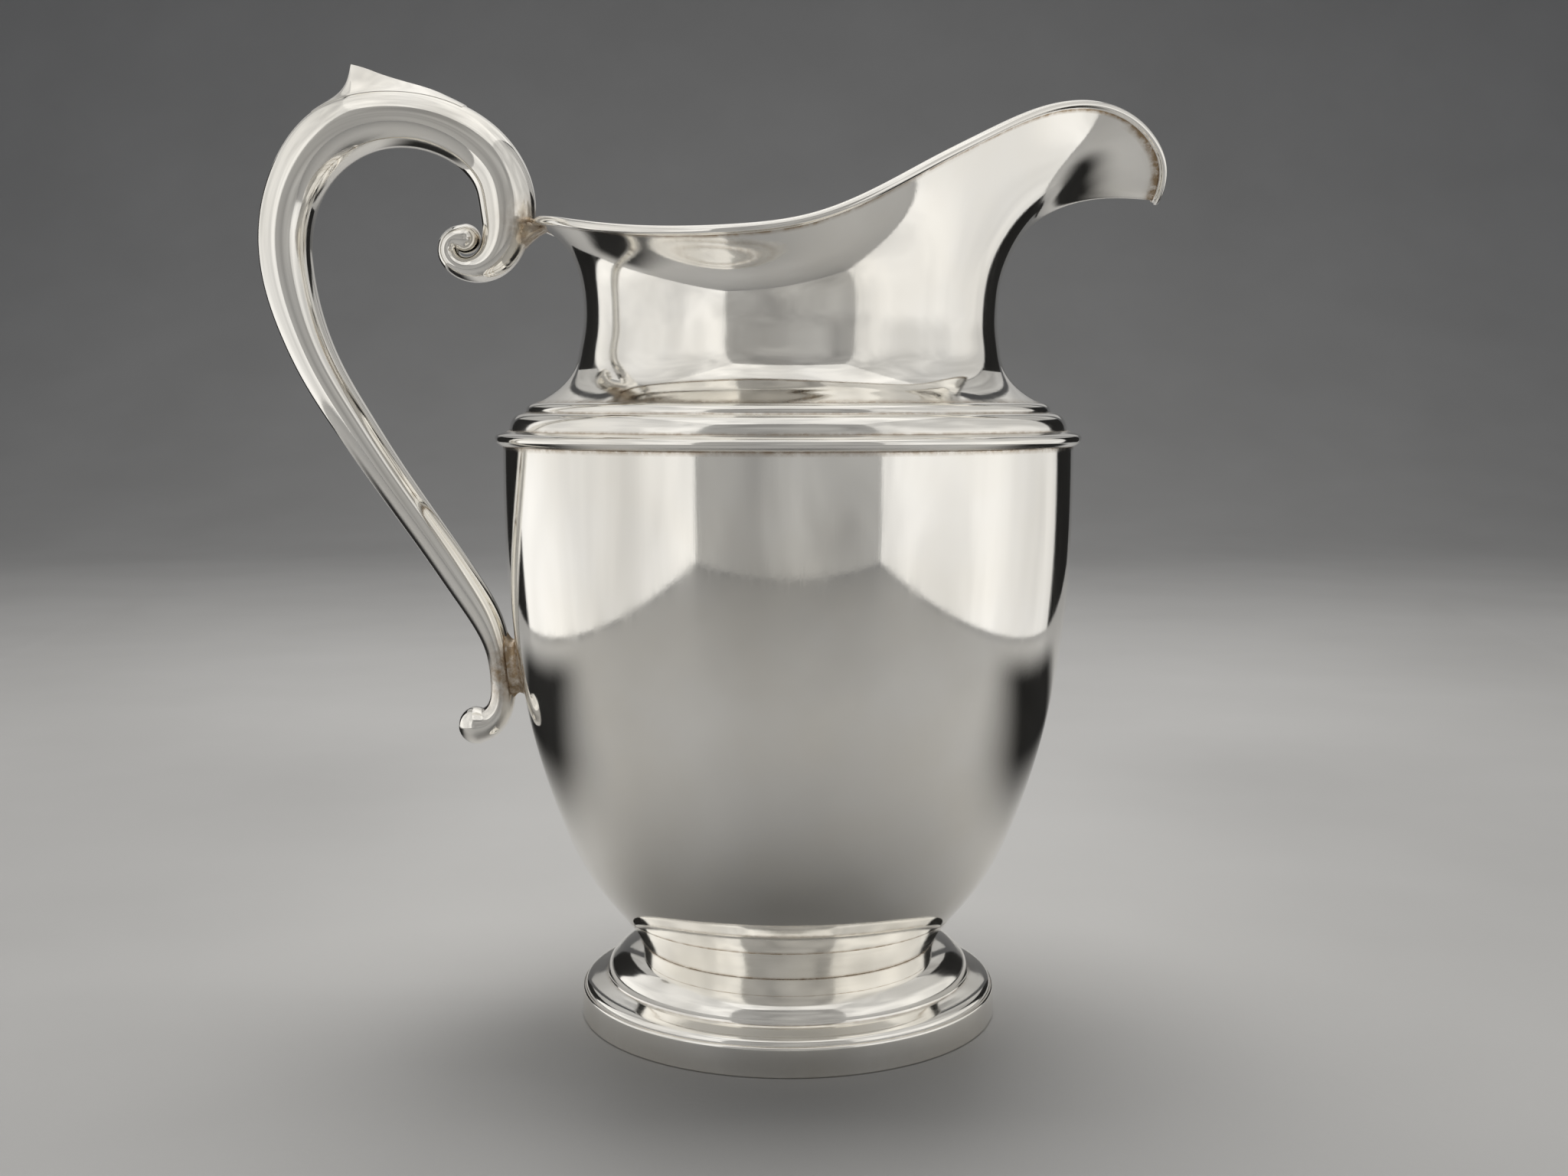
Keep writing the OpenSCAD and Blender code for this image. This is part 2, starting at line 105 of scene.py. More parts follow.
# ---- curves ----
def spline_through(points, at, closed=False, lengths=None):
    """A curve with even curvature through all the points, read at the places in at, from 0 to 1."""
    p = np.array(points, float)
    if closed:
        p = np.vstack([p, p[:1]])
    if closed and lengths is not None:
        gaps = lengths
    else:
        used = 3 if lengths is None else lengths
        gaps = np.linalg.norm(np.diff(p[:, :used], axis=0), axis=1)
    t = np.concatenate([[0], np.cumsum(gaps)])
    n = len(t)
    a, b = np.zeros((n, n)), np.zeros((n, p.shape[1]))
    for i in range(1, n - 1):
        a[i, i - 1], a[i, i], a[i, i + 1] = gaps[i - 1], 2 * (gaps[i - 1] + gaps[i]), gaps[i]
        b[i] = 6 * ((p[i + 1] - p[i]) / gaps[i] - (p[i] - p[i - 1]) / gaps[i - 1])
    if closed:
        a[0, 0], a[0, -1] = 1, -1
        a[-1, -2], a[-1, -1], a[-1, 0], a[-1, 1] = gaps[-1], 2 * gaps[-1], 2 * gaps[0], gaps[0]
        b[-1] = 6 * ((p[1] - p[0]) / gaps[0] - (p[-1] - p[-2]) / gaps[-1])
    else:
        a[0, 0] = a[-1, -1] = 1
    bend = np.linalg.solve(a, b)
    x = np.clip(np.asarray(at, float), 0, 1) * t[-1]
    i = np.clip(np.searchsorted(t, x, side="right") - 1, 0, n - 2)
    h = gaps[i][:, None]
    s = (x[:, None] - t[i][:, None]) / h
    r = 1 - s
    return r * p[i] + s * p[i + 1] + h * h / 6 * ((r ** 3 - r) * bend[i] + (s ** 3 - s) * bend[i + 1])


def curve(points, count):
    return spline_through(points, np.linspace(0, 1, count), lengths=2)


def quarter(cx, cy, a, b, count):
    """A quarter of an ellipse from (cx + a, cy) up to (cx, cy + b)."""
    w = np.linspace(0, math.pi / 2, count)
    return np.column_stack([cx + a * np.cos(w), cy + b * np.sin(w)])


def beside(line, w):
    """A line moved sideways by w, to its left."""
    d = np.gradient(np.asarray(line, float), axis=0)
    d /= np.linalg.norm(d, axis=1)[:, None]
    return line + w * np.column_stack([-d[:, 1], d[:, 0]])


def rounded(corners, steps=8):
    """A closed outline whose corners (r, z, radius) are rounded by that radius."""
    out, n = [], len(corners)
    for i, (x, z, radius) in enumerate(corners):
        p = np.array([x, z])
        a = np.array(corners[i - 1][:2]) - p
        b = np.array(corners[(i + 1) % n][:2]) - p
        if radius == 0:
            out.append(p)
            continue
        a, b = a / np.linalg.norm(a), b / np.linalg.norm(b)
        half = math.acos(np.clip(a @ b, -1, 1)) / 2
        cut = radius / math.tan(half)
        for s in np.linspace(0, 1, steps):
            out.append((1 - s) ** 2 * (p + a * cut) + 2 * s * (1 - s) * p + s ** 2 * (p + b * cut))
    return np.array(out)


# ---- meshes ----
def solid(name, node, rings, material, wrap=False, tarnish_and_shade=None, crease=35):
    """A closed mesh from rings of points: each ring is a loop, and rings follow one another."""
    rings = np.asarray(rings, float)
    n, m = rings.shape[:2]
    along = np.concatenate([[0], np.cumsum(np.linalg.norm(np.diff(rings[:, 0], axis=0), axis=1))])
    across = np.concatenate([[0], np.cumsum(np.linalg.norm(np.diff(rings[0], axis=0), axis=1))])
    faces, uvs = [], []
    for i in range(n if wrap else n - 1):
        k = (i + 1) % n
        u1 = along[i + 1] if i + 1 < n else along[i] + (along[1] - along[0])
        for j in range(m):
            l = (j + 1) % m
            v1 = across[j + 1] if j + 1 < m else across[j] + (across[1] - across[0])
            faces.append((i * m + j, i * m + l, k * m + l, k * m + j))
            uvs += [(along[i], across[j]), (along[i], v1), (u1, v1), (u1, across[j])]
    if not wrap:
        faces += [tuple(range(m))[::-1], tuple(range((n - 1) * m, n * m))]
        uvs += [(0, v) for v in across[::-1]] + [(along[-1], v) for v in across]
    mesh = bpy.data.meshes.new(name)
    mesh.from_pydata((rings.reshape(-1, 3) * MM).tolist(), [], faces)
    layer = mesh.uv_layers.new(name="grain")
    layer.data.foreach_set("uv", (np.array(uvs) * MM).ravel())
    mesh.validate()
    volume = sum(p.center.dot(p.normal) * p.area for p in mesh.polygons)
    if volume < 0:
        mesh.flip_normals()
    mesh.polygons.foreach_set("use_smooth", [True] * len(mesh.polygons))
    mesh.set_sharp_from_angle(angle=math.radians(crease))
    # tarnish per point, and painted shade where a piece's values hold it
    tarnish_and_shade_amount = mesh.attributes.new("tarnish_and_shade", "FLOAT", "POINT")
    values = np.zeros(n * m) if tarnish_and_shade is None else tarnish_and_shade(rings.reshape(-1, 3))
    tarnish_and_shade_amount.data.foreach_set("value", np.clip(values, 0, 1).astype(np.float32))
    piece = bpy.data.objects.new(name, mesh)
    bpy.context.scene.collection.objects.link(piece)
    mesh.materials.append(material)
    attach(piece, "root")
    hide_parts(node)


def revolve(name, node, outline, material, tarnish_and_shade=None, steps=288):
    """The closed outline (r, z) turned about the pitcher's axis."""
    outline = np.asarray(outline, float)
    turn = np.linspace(0, 2 * math.pi, steps, endpoint=False) + math.pi
    rings = [np.column_stack([outline[:, 0] * math.cos(w), outline[:, 0] * math.sin(w), outline[:, 1]])
             for w in turn]
    solid(name, node, rings, material, wrap=True, tarnish_and_shade=tarnish_and_shade)


# ---- tarnish, where polish doesn't reach, and painted shade in the crevice under the mouth wire ----
def near_point(points, x, z, reach):
    away = (points[:, 0] - x) ** 2 + (points[:, 2] - z) ** 2 + 0.3 * points[:, 1] ** 2
    return np.exp(-away / reach ** 2)


def near_height(points, z, reach):
    return np.exp(-((points[:, 2] - z) / reach) ** 2)


# ---- materials ----
class Shader:
    """A material's node tree, with short ways to add nodes to it."""

    def __init__(self, name):
        self.material = bpy.data.materials.new(name)
        self.material.use_nodes = True
        self.tree = self.material.node_tree
        self.surface = self.tree.nodes["Principled BSDF"]

    def add(self, kind, **settings):
        node = self.tree.nodes.new(kind)
        for key, value in settings.items():
            if key in node.inputs:
                node.inputs[key].default_value = value
            else:
                setattr(node, key, value)
        return node

    def join(self, source, target):
        self.tree.links.new(source, target)

    def noise(self, vector, scale, detail=4.0, roughness=0.55):
        node = self.add("ShaderNodeTexNoise", Scale=scale, Detail=detail, Roughness=roughness)
        self.join(vector, node.inputs["Vector"])
        return node.outputs["Fac"]

    def stretch(self, vector, by):
        node = self.add("ShaderNodeMapping", Scale=by)
        self.join(vector, node.inputs["Vector"])
        return node.outputs["Vector"]

    def ramp(self, value, low, high, to_low=0.0, to_high=1.0):
        node = self.add("ShaderNodeMapRange")
        keys = ("From Min", "From Max", "To Min", "To Max")
        for key, number in zip(keys, (low, high, to_low, to_high)):
            node.inputs[key].default_value = number
        self.join(value, node.inputs["Value"])
        return node.outputs["Result"]

    def math(self, operation, a, b):
        node = self.add("ShaderNodeMath", operation=operation)
        for value, socket in zip((a, b), node.inputs):
            if isinstance(value, (int, float)):
                socket.default_value = value
            else:
                self.join(value, socket)
        return node.outputs["Value"]

    def blend(self, factor, a, b):
        node = self.add("ShaderNodeMix", data_type="RGBA")
        if isinstance(factor, (int, float)):
            node.inputs[0].default_value = factor
        else:
            self.join(factor, node.inputs[0])
        for value, socket in ((a, node.inputs[6]), (b, node.inputs[7])):
            if isinstance(value, tuple):
                socket.default_value = value
            else:
                self.join(value, socket)
        return node.outputs[2]


SILVER = (0.94, 0.925, 0.89, 1)
SILVER_WARM = (0.90, 0.865, 0.79, 1)
# the colour of tarnish, and of the painted shade under the mouth wire
TARNISH_AND_SHADE_COLOUR = (0.30, 0.20, 0.10, 1)


def grain_vector(s, grain):
    """Where a material's fine lines run: upright, round the axis, or along the piece."""
    place = s.add("ShaderNodeTexCoord").outputs["Object"]
    if grain == "upright":
        return s.stretch(place, (1.0, 1.0, 0.03))
    if grain == "round":
        parts = s.add("ShaderNodeSeparateXYZ")
        s.join(place, parts.inputs[0])
        flat = s.add("ShaderNodeCombineXYZ")
        s.join(parts.outputs["X"], flat.inputs["X"])
        s.join(parts.outputs["Y"], flat.inputs["Y"])
        radius = s.add("ShaderNodeVectorMath", operation="LENGTH")
        s.join(flat.outputs[0], radius.inputs[0])
        out = s.add("ShaderNodeCombineXYZ")
        s.join(radius.outputs["Value"], out.inputs["X"])
        s.join(parts.outputs["Z"], out.inputs["Y"])
        return out.outputs[0]
    return s.stretch(s.add("ShaderNodeUVMap", uv_map="grain").outputs[0], (0.04, 1.0, 1.0))


def silver(name, grain="upright", polish=0.07, haze=0.5, age=0.0):
    """Polished sterling: buffing lines, streaks, faint hazy patches, and tarnish in corners; the same dark
    colour also paints shade in the crevice under the mouth wire.
    """
    s = Shader(name)
    surface = s.surface
    place = s.add("ShaderNodeTexCoord").outputs["Object"]
    lines = s.noise(grain_vector(s, grain), 1500.0, 6.0, 0.7)
    streaks = s.noise(grain_vector(s, grain), 260.0, 5.0, 0.6)
    broad = s.noise(place, 38.0, 3.0)
    fine = s.noise(place, 900.0, 5.0, 0.65)
    tarnish_and_shade_amount = s.add("ShaderNodeAttribute", attribute_name="tarnish_and_shade").outputs["Fac"]
    # tarnish and painted shade from the mesh, broken up by noise
    patchy = s.math("MULTIPLY", tarnish_and_shade_amount, s.ramp(s.noise(place, 420.0, 5.0, 0.7), 0.3, 0.62, 0.25, 1.3))
    tarnish_and_shade_mix = s.math("MINIMUM", s.math("ADD", patchy, age), 0.92)
    warm = s.blend(s.ramp(broad, 0.35, 0.7, 0.0, haze), SILVER, SILVER_WARM)
    surface.inputs["Base Color"].default_value = SILVER
    s.join(s.blend(tarnish_and_shade_mix, warm, TARNISH_AND_SHADE_COLOUR), surface.inputs["Base Color"])
    surface.inputs["Metallic"].default_value = 1.0
    surface.inputs["Roughness"].default_value = polish
    rough = s.math("ADD", s.ramp(lines, 0.35, 0.7, polish * 0.6, polish * 1.2),
                   s.math("MULTIPLY", s.ramp(streaks, 0.42, 0.72, 0.0, polish * 1.6),
                          s.ramp(broad, 0.35, 0.65, 0.15, 1.0)))
    s.join(s.math("ADD", rough, s.math("MULTIPLY", tarnish_and_shade_mix, 0.3)), surface.inputs["Roughness"])
    bump = s.add("ShaderNodeBump", Strength=0.35, Distance=0.000012)
    s.join(s.math("ADD", s.math("ADD", lines, s.math("MULTIPLY", streaks, 2.0)),
                  s.math("MULTIPLY", fine, 0.6)), bump.inputs["Height"])
    s.join(bump.outputs[0], surface.inputs["Normal"])
    return s.material


def floor_material():
    s = Shader("pale_floor")
    place = s.add("ShaderNodeTexCoord").outputs["Object"]
    tone = s.ramp(s.noise(place, 6.0, 3.0), 0.3, 0.7, 0.0, 1.0)
    s.join(s.blend(tone, (0.50, 0.495, 0.485, 1), (0.54, 0.535, 0.525, 1)), s.surface.inputs["Base Color"])
    s.surface.inputs["Roughness"].default_value = 0.55
    bump = s.add("ShaderNodeBump", Strength=0.15, Distance=0.0004)
    s.join(s.noise(place, 500.0, 4.0), bump.inputs["Height"])
    s.join(bump.outputs[0], s.surface.inputs["Normal"])
    return s.material


# ---- foot ----
def foot():
    """The standing ring, the spun dome above it, and the collar that carries the body."""
    band = rounded([(FOOT_R - 2.2, 0, 0.3), (FOOT_R, 0, 0.4), (FOOT_R - 0.12, BAND_H, 0.75),
                    (FOOT_R - 2.4, BAND_H, 0)])
    revolve("standing_ring", "foot_band", band, silver("silver_standing_ring", "round", 0.10),
            lambda p: 0.2 * near_height(p, 0.0, 0.4) + 0.25 * near_height(p, BAND_H, 0.15))
    o, w = FOOT_R - 0.8, WAIST_R
    moulding = curve([(o, BAND_H), (o - 0.2, BAND_H + 0.8), (o - 1.1, BAND_H + 1.5),
                      (o - 2.8, BAND_H + 2.1), (o - 4.4, BAND_H + 2.6), (o - 5.4, BAND_H + 2.9)], 30)
    swell = curve([(w + 8.3, FOOT_H - 7.6), (w + 8.1, FOOT_H - 6.3), (w + 7.5, FOOT_H - 4.9),
                   (w + 6.3, FOOT_H - 3.6), (w + 4.9, FOOT_H - 2.4), (w + 2.7, FOOT_H - 1.1),
                   (w, FOOT_H)], 40)
    outer = np.vstack([moulding, swell])
    inner = np.array([q for q in beside(outer, WALL)[1:-1] if q[1] > BAND_H + 0.3])[::-1]
    dome = np.vstack([outer, [[w - WALL, FOOT_H - WALL / 2]], inner, [[FOOT_R - 2.4, BAND_H]]])
    revolve("spun_dome", "foot_dome", dome, silver("silver_spun_dome", "round", 0.09),
            lambda p: 0.3 * near_height(p, BAND_H + 2.9, 0.15) * (np.hypot(p[:, 0], p[:, 1]) > 42)
            + 0.6 * near_height(p, FOOT_H, 0.12))
    h = COLLAR_TOP - FOOT_H
    t = np.linspace(0, 1, 41)
    radii = w + (COLLAR_R - w) * t - 4 * COLLAR_HOLLOW * t * (1 - t)
    outer = np.stack([radii, FOOT_H + h * t], axis=1)
    inner = np.array([q for q in beside(outer, WALL)
                      if FOOT_H + 0.5 < q[1] < COLLAR_TOP - SEAT_DEPTH])[::-1]
    collar = np.vstack([outer, [floor_at(COLLAR_R - SEAT_EDGE), floor_at(WAIST_R + 1)], inner,
                        [[WAIST_R - WALL, FOOT_H - WALL / 2]]])
    revolve("cove_stem", "foot_collar", collar, silver("silver_cove_stem", "round", 0.09),
            lambda p: 0.6 * near_height(p, FOOT_H, 0.12))


# ---- body ----
def floor_at(r):
    """The body's underside inside the collar."""
    return [r, COLLAR_TOP - 0.2 * (COLLAR_R - r)]


BELLY = [(BODY_R, BODY_TOP), (BODY_R, BODY_TOP - 10), (BODY_R - 0.65, BODY_TOP - 30),
         (BODY_R - 2.6, BODY_TOP - 50), (BODY_R - 6.5, BODY_TOP - 70), (BODY_R - 12.9, BODY_TOP - 90),
         (BODY_R - 20.4, BODY_TOP - 105), (COLLAR_R, COLLAR_TOP)]


def body():
    outer = curve(BELLY, 120)
    low = [floor_at(COLLAR_R - SEAT_EDGE), floor_at(WAIST_R),
           [15, COLLAR_TOP - 2], [0.05, COLLAR_TOP - 2.2]]
    inner = beside(outer, -WALL)[1:-1][::-1]
    outline = np.vstack([outer, low, [[r, z + WALL] for r, z in low[:0:-1]], inner,
                         [[BODY_R - WALL, BODY_TOP]]])
    revolve("belly_shell", "vase_body", outline, silver("silver_belly", "upright", 0.055),
            lambda p: 0.8 * near_height(p, COLLAR_TOP, 0.4) + 0.55 * near_height(p, BODY_TOP, 0.5)
            + 0.8 * near_point(p, -66, 84, 6.5))


# ---- shoulder ----
def shoulder():
    bulge = curve([(BODY_R, BODY_TOP), (RING_R - 0.7, BODY_TOP + 0.55), (RING_R - 0.15, BODY_TOP + 1.15),
                   (RING_R, BODY_TOP + 1.8), (RING_R - 0.15, BODY_TOP + 2.35),
                   (RING_R - 0.8, BODY_TOP + 2.85),
                   (RING_R - 2.2, BODY_TOP + 3.3), (RING_R - 3.4, RING_TOP)], 36)
    ring = np.vstack([bulge, [[BODY_R - WALL - 1.6, RING_TOP], [BODY_R - WALL - 1.6, BODY_TOP]]])
    revolve("applied_ring", "shoulder_ring", ring, silver("silver_applied_ring", "round", 0.08),
            lambda p: 0.8 * near_height(p, BODY_TOP, 0.3) + 0.5 * near_height(p, RING_TOP, 0.3))
    r = RING_R - 3.5
    steps = np.vstack([quarter(r - 3.3, RING_TOP, 3.3, 4.1, 26), [[r - 3.7, RING_TOP + 4.2]],
                       quarter(NECK_FOOT_R, RING_TOP + 4.5, 2.4, NECK_FOOT - RING_TOP - 4.5, 18)])
    inner = beside(steps, WALL)[1:-1][::-1]
    outline = np.vstack([steps, [[NECK_FOOT_R - WALL, NECK_FOOT]], inner, [[r - WALL, RING_TOP]]])
    revolve("shoulder_steps", "stepped_shoulder", outline, silver("silver_shoulder_steps", "round", 0.08),
            lambda p: 0.5 * near_height(p, RING_TOP + 4.3, 0.25) + 0.5 * near_height(p, RING_TOP, 0.3))


# ---- neck, lip and bead ----
AROUND = 420
UP = 72


def mouth_rows():
    """The mouth's list all the way round, as one smooth closed curve of AROUND rows."""
    other = [(x, -y, z, 360 - a, gx, -gy, gz) for x, y, z, a, gx, gy, gz in MOUTH[:0:-1]]
    ring = np.array(MOUTH + other)
    gaps = np.linalg.norm(np.diff(np.vstack([ring, ring[:1]])[:, :3], axis=0), axis=1)
    turned = ring.copy()
    turned[:, 3] -= 360 * np.concatenate([[0], np.cumsum(gaps)])[:-1] / gaps.sum()
    at = np.arange(AROUND) / AROUND
    rows = spline_through(turned, at, closed=True, lengths=gaps)
    rows[:, 3] += 360 * at
    return rows


def unit(v):
    return v / np.linalg.norm(v, axis=-1, keepdims=True)


ROWS = mouth_rows()
EDGE = ROWS[:, :3]
_ALONG = np.roll(EDGE, -1, 0) - np.roll(EDGE, 1, 0)
GUIDE = ROWS[:, 4:7]
RISE = unit(EDGE - GUIDE)
FACING = unit(np.cross(_ALONG, RISE))


def neck_skin():
    """The outer surface: a grid of UP rows by AROUND steps."""
    low = [(NECK_FOOT_R, 0), (NECK_FOOT_R - 5.1, 3.2), (NECK_FOOT_R - 9, 8.3), (NECK_R + 0.7, 13.4),
           (NECK_R + 0.05, 18.2), (NECK_R, NECK_LOW)]
    angle = np.radians(ROWS[:, 3:4])
    way = np.hstack([np.cos(angle), np.sin(angle)])
    keys = []
    for r, h in low:
        lean = np.array([NECK_LEAN * h / NECK_LOW, 0])
        keys.append(np.hstack([r * way + lean, np.full((AROUND, 1), NECK_FOOT + h)]))
    p0 = keys[-1]
    up = np.array([0, 0, 1]) * ((EDGE[:, 2:3] - NECK_MID) * NECK_CLIMB)
    p1, p2 = p0 + up, GUIDE
    for t in (0.12, 0.25, 0.38, 0.5, 0.62, 0.74, 0.87, 1.0):
        s = 1 - t
        keys.append(s ** 3 * p0 + 3 * s * s * t * p1 + 3 * s * t * t * p2 + t ** 3 * EDGE)
    keys = np.array(keys)
    at = np.linspace(0, 1, UP)
    return np.array([spline_through(keys[:, k], at) for k in range(AROUND)]).transpose(1, 0, 2)


def neck():
    skin = neck_skin()
    du = np.roll(skin, -1, 1) - np.roll(skin, 1, 1)
    dv = np.gradient(skin, axis=0)
    facing = unit(np.cross(du, dv))
    lining = skin - WALL * facing
    lining[0] = skin[0] * [1 - WALL / NECK_FOOT_R, 1 - WALL / NECK_FOOT_R, 1]
    rings = np.concatenate([skin, lining[::-1]], axis=0).transpose(1, 0, 2)
    # painted shade: the thin dark line under the wire, where its crevice falls in shadow, wider at the tip
    # of the lip
    gap = np.linalg.norm(skin - EDGE[None], axis=2)
    width = 0.9 + 1.5 * np.clip((EDGE[:, 0] - 76) / 9, 0, 1)
    line = np.zeros((AROUND, 2 * UP))
    line[:, :UP] = np.clip(1.3 * (1 - gap / width), 0, 1.3).T
    # the neck's values: painted shade under the wire, with tarnish at the neck's foot and at the handle's
    # upper mount
    solid("neck_wall", "neck_and_spout", rings, silver("silver_neck", "upright", 0.06), wrap=True,
          tarnish_and_shade=lambda p: line.ravel() + 0.5 * near_height(p, NECK_FOOT, 0.5)
          + 0.9 * near_point(p, -60, 190, 5.5))
    o, h = BEAD_OUT, BEAD_H
    bulge = curve([(0.45 * o, 0.0), (0.5 * o, 0.2 * h), (0.88 * o, 0.36 * h), (o, 0.62 * h),
                   (0.66 * o, 0.9 * h), (-0.1 * o, h), (-0.85 * o, 0.9 * h),
                   (-1.25 * o, 0.62 * h), (-WALL - 0.1, 0.2 * h)], 30)
    section = np.vstack([[[-WALL, 0], [0, 0]], bulge])
    rings = [EDGE[k] + section[:, :1] * FACING[k] + section[:, 1:] * RISE[k] for k in range(AROUND)]
    seam = np.zeros((AROUND, len(section)))
    seam[:, :3] = 0.8
    solid("mouth_wire", "rim_bead", rings, silver("silver_mouth_wire", "along", 0.08), wrap=True,
          tarnish_and_shade=lambda p: seam.ravel() + 0.8 * near_point(p, -60, 191, 4.5))


# ---- handle ----
STATIONS = 420
SIDES = 40


def handle_line():
    """x, z, depth, width and direction of the handle at each station, its rounded ends included."""
    at = np.linspace(0, 1, STATIONS)
    line = spline_through(GRIP, at, lengths=2)
    way = unit(np.gradient(line[:, :2], axis=0))
    line = np.hstack([line, way])

    def ball(q, t):
        turn = np.radians(np.linspace(6, 84, 14))
        out = [[q[0] + t[0] * q[2] * math.sin(w), q[1] + t[1] * q[2] * math.sin(w),
                q[2] * math.cos(w), q[3] * math.cos(w), q[4], q[5]] for w in turn]
        return np.array(out)

    return np.vstack([ball(line[0], -way[0])[::-1], line, ball(line[-1], way[-1])])


LINE = handle_line()


def grip_at(q, a, side, cut=0.0):
    """A point of the handle's section, at angle a from the outer side of its line."""
    depth, width = max(q[2] - cut, 0.05), max(q[3] - cut, 0.05)
    out = depth * math.cos(a)
    return [q[0] + q[5] * out, side * width * math.sin(a), q[1] - q[4] * out]


def handle_tarnish(p):
    return (0.95 * near_point(p, -61.5, 190, 5.0) + 0.95 * near_point(p, -67, 84, 7.0)
            + 0.5 * near_point(p, -74.5, 188, 2.2) + 0.35 * near_point(p, -73, 75, 2.0))


def handle():
    metal = silver("silver_handle", "along", 0.075)
    angles = np.linspace(0, math.pi, SIDES + 1)
    for name, node, side in (("handle_shell_near", "handle_half_near", -1),
                             ("handle_shell_far", "handle_half_far", 1)):
        rings = [[grip_at(q, a, side) for a in angles]
                 + [grip_at(q, a, side, HANDLE_WALL) for a in angles[::-1]] for q in LINE]
        solid(name, node, rings, metal, tarnish_and_shade=handle_tarnish)


def spur():
    """The pointed fin on the handle's arch: a ridge that rises to its tip and falls away in front."""
    arch = np.array([q for q in LINE if q[1] > 203 and -118 < q[0] < -70])
    tops = np.array([grip_at(q, 0, 1) for q in arch])
    order = np.argsort(tops[:, 0])
    arch, tops = arch[order], tops[order]
    tip = (SPUR_TIP_X, -SPUR_BACK - SPUR_TIP_X,
           SPUR_TOP - SPUR_EDGE - np.interp(SPUR_TIP_X, tops[:, 0], tops[:, 2]))
    ridge = np.vstack([spline_through(RIDGE_BEHIND + [tip], np.linspace(0, 1, 26), lengths=1),
                       spline_through([tip] + RIDGE_FRONT, np.linspace(0, 1, 80), lengths=1)[1:]])
    spread = math.radians(SPUR_SPREAD)
    rings = []
    for x, forward, up in ridge:
        row = [np.interp(x, tops[:, 0], arch[:, k]) for k in range(arch.shape[1])]
        near, far = [], []
        for e in np.linspace(-1, 1, 33):
            p = np.array(grip_at(row, abs(e) * spread, -1 if e < 0 else 1))
            near.append(p)
            far.append(p + [forward * (1 - abs(e)), 0, SPUR_EDGE + max(up, 0) * (1 - abs(e)) ** 1.6])
        rings.append(near + far[::-1])
    solid("spur_fin", "thumb_spur", rings, silver("silver_spur", "along", 0.08), crease=28)


def bridge(name, node, near, far, pinch, tarnish_and_shade_amount):
    """A fillet of solder between two matching loops, drawn in at its middle."""
    near, far = np.array(near), np.array(far)
    rings = []
    for s in np.linspace(0, 1, BRIDGE_LAYERS):
        ring = (1 - s) * near + s * far
        centre = ring.mean(axis=0)
        rings.append(centre + (ring - centre) * (1 - pinch * math.sin(math.pi * s)))
    solid(name, node, rings, silver("silver_" + name, "along", 0.16, age=0.25),
          tarnish_and_shade=lambda p: np.full(len(p), tarnish_and_shade_amount), crease=50)


def loop(count):
    """Points of a rounded square, from -1 to 1 both ways."""
    out = []
    for t in np.linspace(0, 2 * math.pi, count, endpoint=False):
        c, s = math.cos(t), math.sin(t)
        out.append((math.copysign(abs(c) ** 0.7, c), math.copysign(abs(s) ** 0.7, s)))
    return out


def mounts():
    heights = LINE[:, 1]
    stem = [i for i, q in enumerate(LINE) if q[5] > 0.7 and 186 < q[1] < 196 and q[0] > -70]
    near, far = [], []
    back = AROUND // 2
    skin = neck_skin()
    for a, b in loop(64):
        z = 189.6 + 2.3 * b
        i = min(stem, key=lambda k: abs(heights[k] - z))
        near.append(grip_at(LINE[i], abs(a) * math.radians(43), -1 if a < 0 else 1))
        k = (back - int(round(a * 3.4))) % AROUND
        if b < 0:
            far.append(skin[UP - 1 + int(round(b * 2))][k])
        else:
            far.append(EDGE[k] + 0.85 * b * BEAD_OUT * FACING[k] + 0.36 * b * BEAD_H * RISE[k])
    bridge("stem_solder", "upper_handle_mount", near, far, 0.1, 0.4)
    tail = [i for i, q in enumerate(LINE) if q[5] < -0.7 and 76 < q[1] < 95]
    belly = curve(BELLY, 600)
    near, far = [], []
    for a, b in loop(72):
        z = 84.6 + 7.2 * b
        i = min(tail, key=lambda k: abs(heights[k] - z))
        near.append(grip_at(LINE[i], math.pi - abs(a) * math.radians(50), -1 if a < 0 else 1))
        r = np.interp(z, belly[::-1, 1], belly[::-1, 0])
        turn = math.radians(4.6 * a)
        far.append([-r * math.cos(turn), r * math.sin(turn), z])
    bridge("belly_pad", "lower_handle_mount", near, far, 0.14, 0.6)


